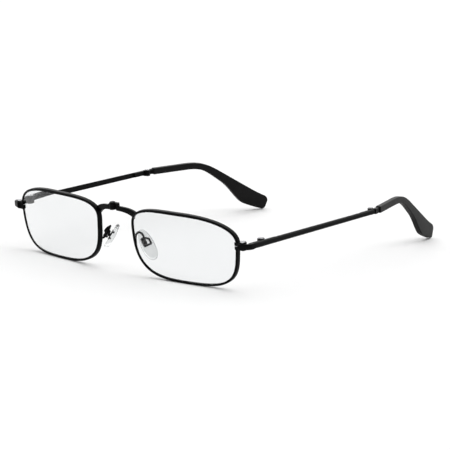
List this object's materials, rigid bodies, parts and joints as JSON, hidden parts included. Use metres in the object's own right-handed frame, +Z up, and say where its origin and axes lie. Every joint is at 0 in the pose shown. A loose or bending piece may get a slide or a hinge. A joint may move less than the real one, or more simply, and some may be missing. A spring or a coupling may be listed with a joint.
{
  "type": "folding reading glasses",
  "caption": "Metal-rimmed reading glasses that fold at the bridge, at both temple hinges and again halfway along each temple, with soft nose pads and curved ear tips.",
  "frame": {"origin": "middle of the open glasses' length and width, on the table they stand on", "axes": "+X to the wearer's left, -Y is where the wearer looks, +Y along the temples to the ear tips, +Z up"},
  "size_m": [0.1322, 0.1416, 0.0285],
  "materials": {
    "frame_metal": "satin black paint",
    "screw_steel": "bright machined",
    "insert_metal": "satin",
    "lens": "clear polished",
    "soft_pad": "clear silicone",
    "ear_tip": "satin black plastic"
  },
  "bodies": {
    "left_front": {"left_rim": "frame_metal", "left_lens": "lens", "left_block_upper": "frame_metal", "left_block_lower": "frame_metal", "left_rim_screw": "screw_steel", "left_end_piece": "frame_metal", "left_hinge_leaf": "frame_metal", "left_hinge_screw": "screw_steel", "left_pad_arm": "frame_metal", "left_pad_box": "frame_metal", "left_pad_screw": "screw_steel", "left_bridge_strip": "frame_metal", "left_bridge_leaf": "frame_metal", "bridge_screw": "frame_metal"},
    "left_temple": {"left_temple_strip": "frame_metal", "left_temple_leaf": "frame_metal", "left_fold_leaf": "frame_metal", "left_fold_screw": "screw_steel"},
    "left_rear": {"left_tip_leaf": "frame_metal", "left_tip_core": "frame_metal", "left_ear_tip": "ear_tip"},
    "left_pad": {"left_pad_insert": "insert_metal", "left_nose_pad": "soft_pad"},
    "right_front": {"right_rim": "frame_metal", "right_lens": "lens", "right_block_upper": "frame_metal", "right_block_lower": "frame_metal", "right_rim_screw": "screw_steel", "right_end_piece": "frame_metal", "right_hinge_leaf": "frame_metal", "right_hinge_screw": "screw_steel", "right_pad_arm": "frame_metal", "right_pad_box": "frame_metal", "right_pad_screw": "screw_steel", "right_bridge_strip": "frame_metal", "right_bridge_leaf": "frame_metal"},
    "right_temple": {"right_temple_strip": "frame_metal", "right_temple_leaf": "frame_metal", "right_fold_leaf": "frame_metal", "right_fold_screw": "screw_steel"},
    "right_rear": {"right_tip_leaf": "frame_metal", "right_tip_core": "frame_metal", "right_ear_tip": "ear_tip"},
    "right_pad": {"right_pad_insert": "insert_metal", "right_nose_pad": "soft_pad"}
  },
  "joints": [
    {"name": "bridge_fold", "type": "hinge", "parent": "left_front", "child": "right_front", "pos_m": [0, -0.0692, 0.02587], "axis": [0, -0.1392, 0.9903], "range_deg": [0, 172]},
    {"name": "left_temple_fold", "type": "hinge", "parent": "left_front", "child": "left_temple", "pos_m": [0.06321, -0.05219, 0.01859], "axis": [0, -0.0427, 0.9991], "range_deg": [0, 82]},
    {"name": "left_rear_fold", "type": "hinge", "parent": "left_temple", "child": "left_rear", "pos_m": [0.0626, 0.01265, 0.02137], "axis": [0, -0.0427, 0.9991], "range_deg": [-16, 162]},
    {"name": "left_pad_rock", "type": "hinge", "parent": "left_front", "child": "left_pad", "pos_m": [0.01094, -0.06177, 0.01307], "axis": [0.4581, 0.8192, 0.3452], "range_deg": [-8, 8]},
    {"name": "right_temple_fold", "type": "hinge", "parent": "right_front", "child": "right_temple", "pos_m": [-0.06321, -0.05219, 0.01859], "axis": [0, 0.0427, -0.9991], "range_deg": [0, 82]},
    {"name": "right_rear_fold", "type": "hinge", "parent": "right_temple", "child": "right_rear", "pos_m": [-0.0626, 0.01265, 0.02137], "axis": [0, 0.0427, -0.9991], "range_deg": [-16, 162]},
    {"name": "right_pad_rock", "type": "hinge", "parent": "right_front", "child": "right_pad", "pos_m": [-0.01094, -0.06177, 0.01307], "axis": [0.4581, -0.8192, -0.3452], "range_deg": [-8, 8]}
  ]
}
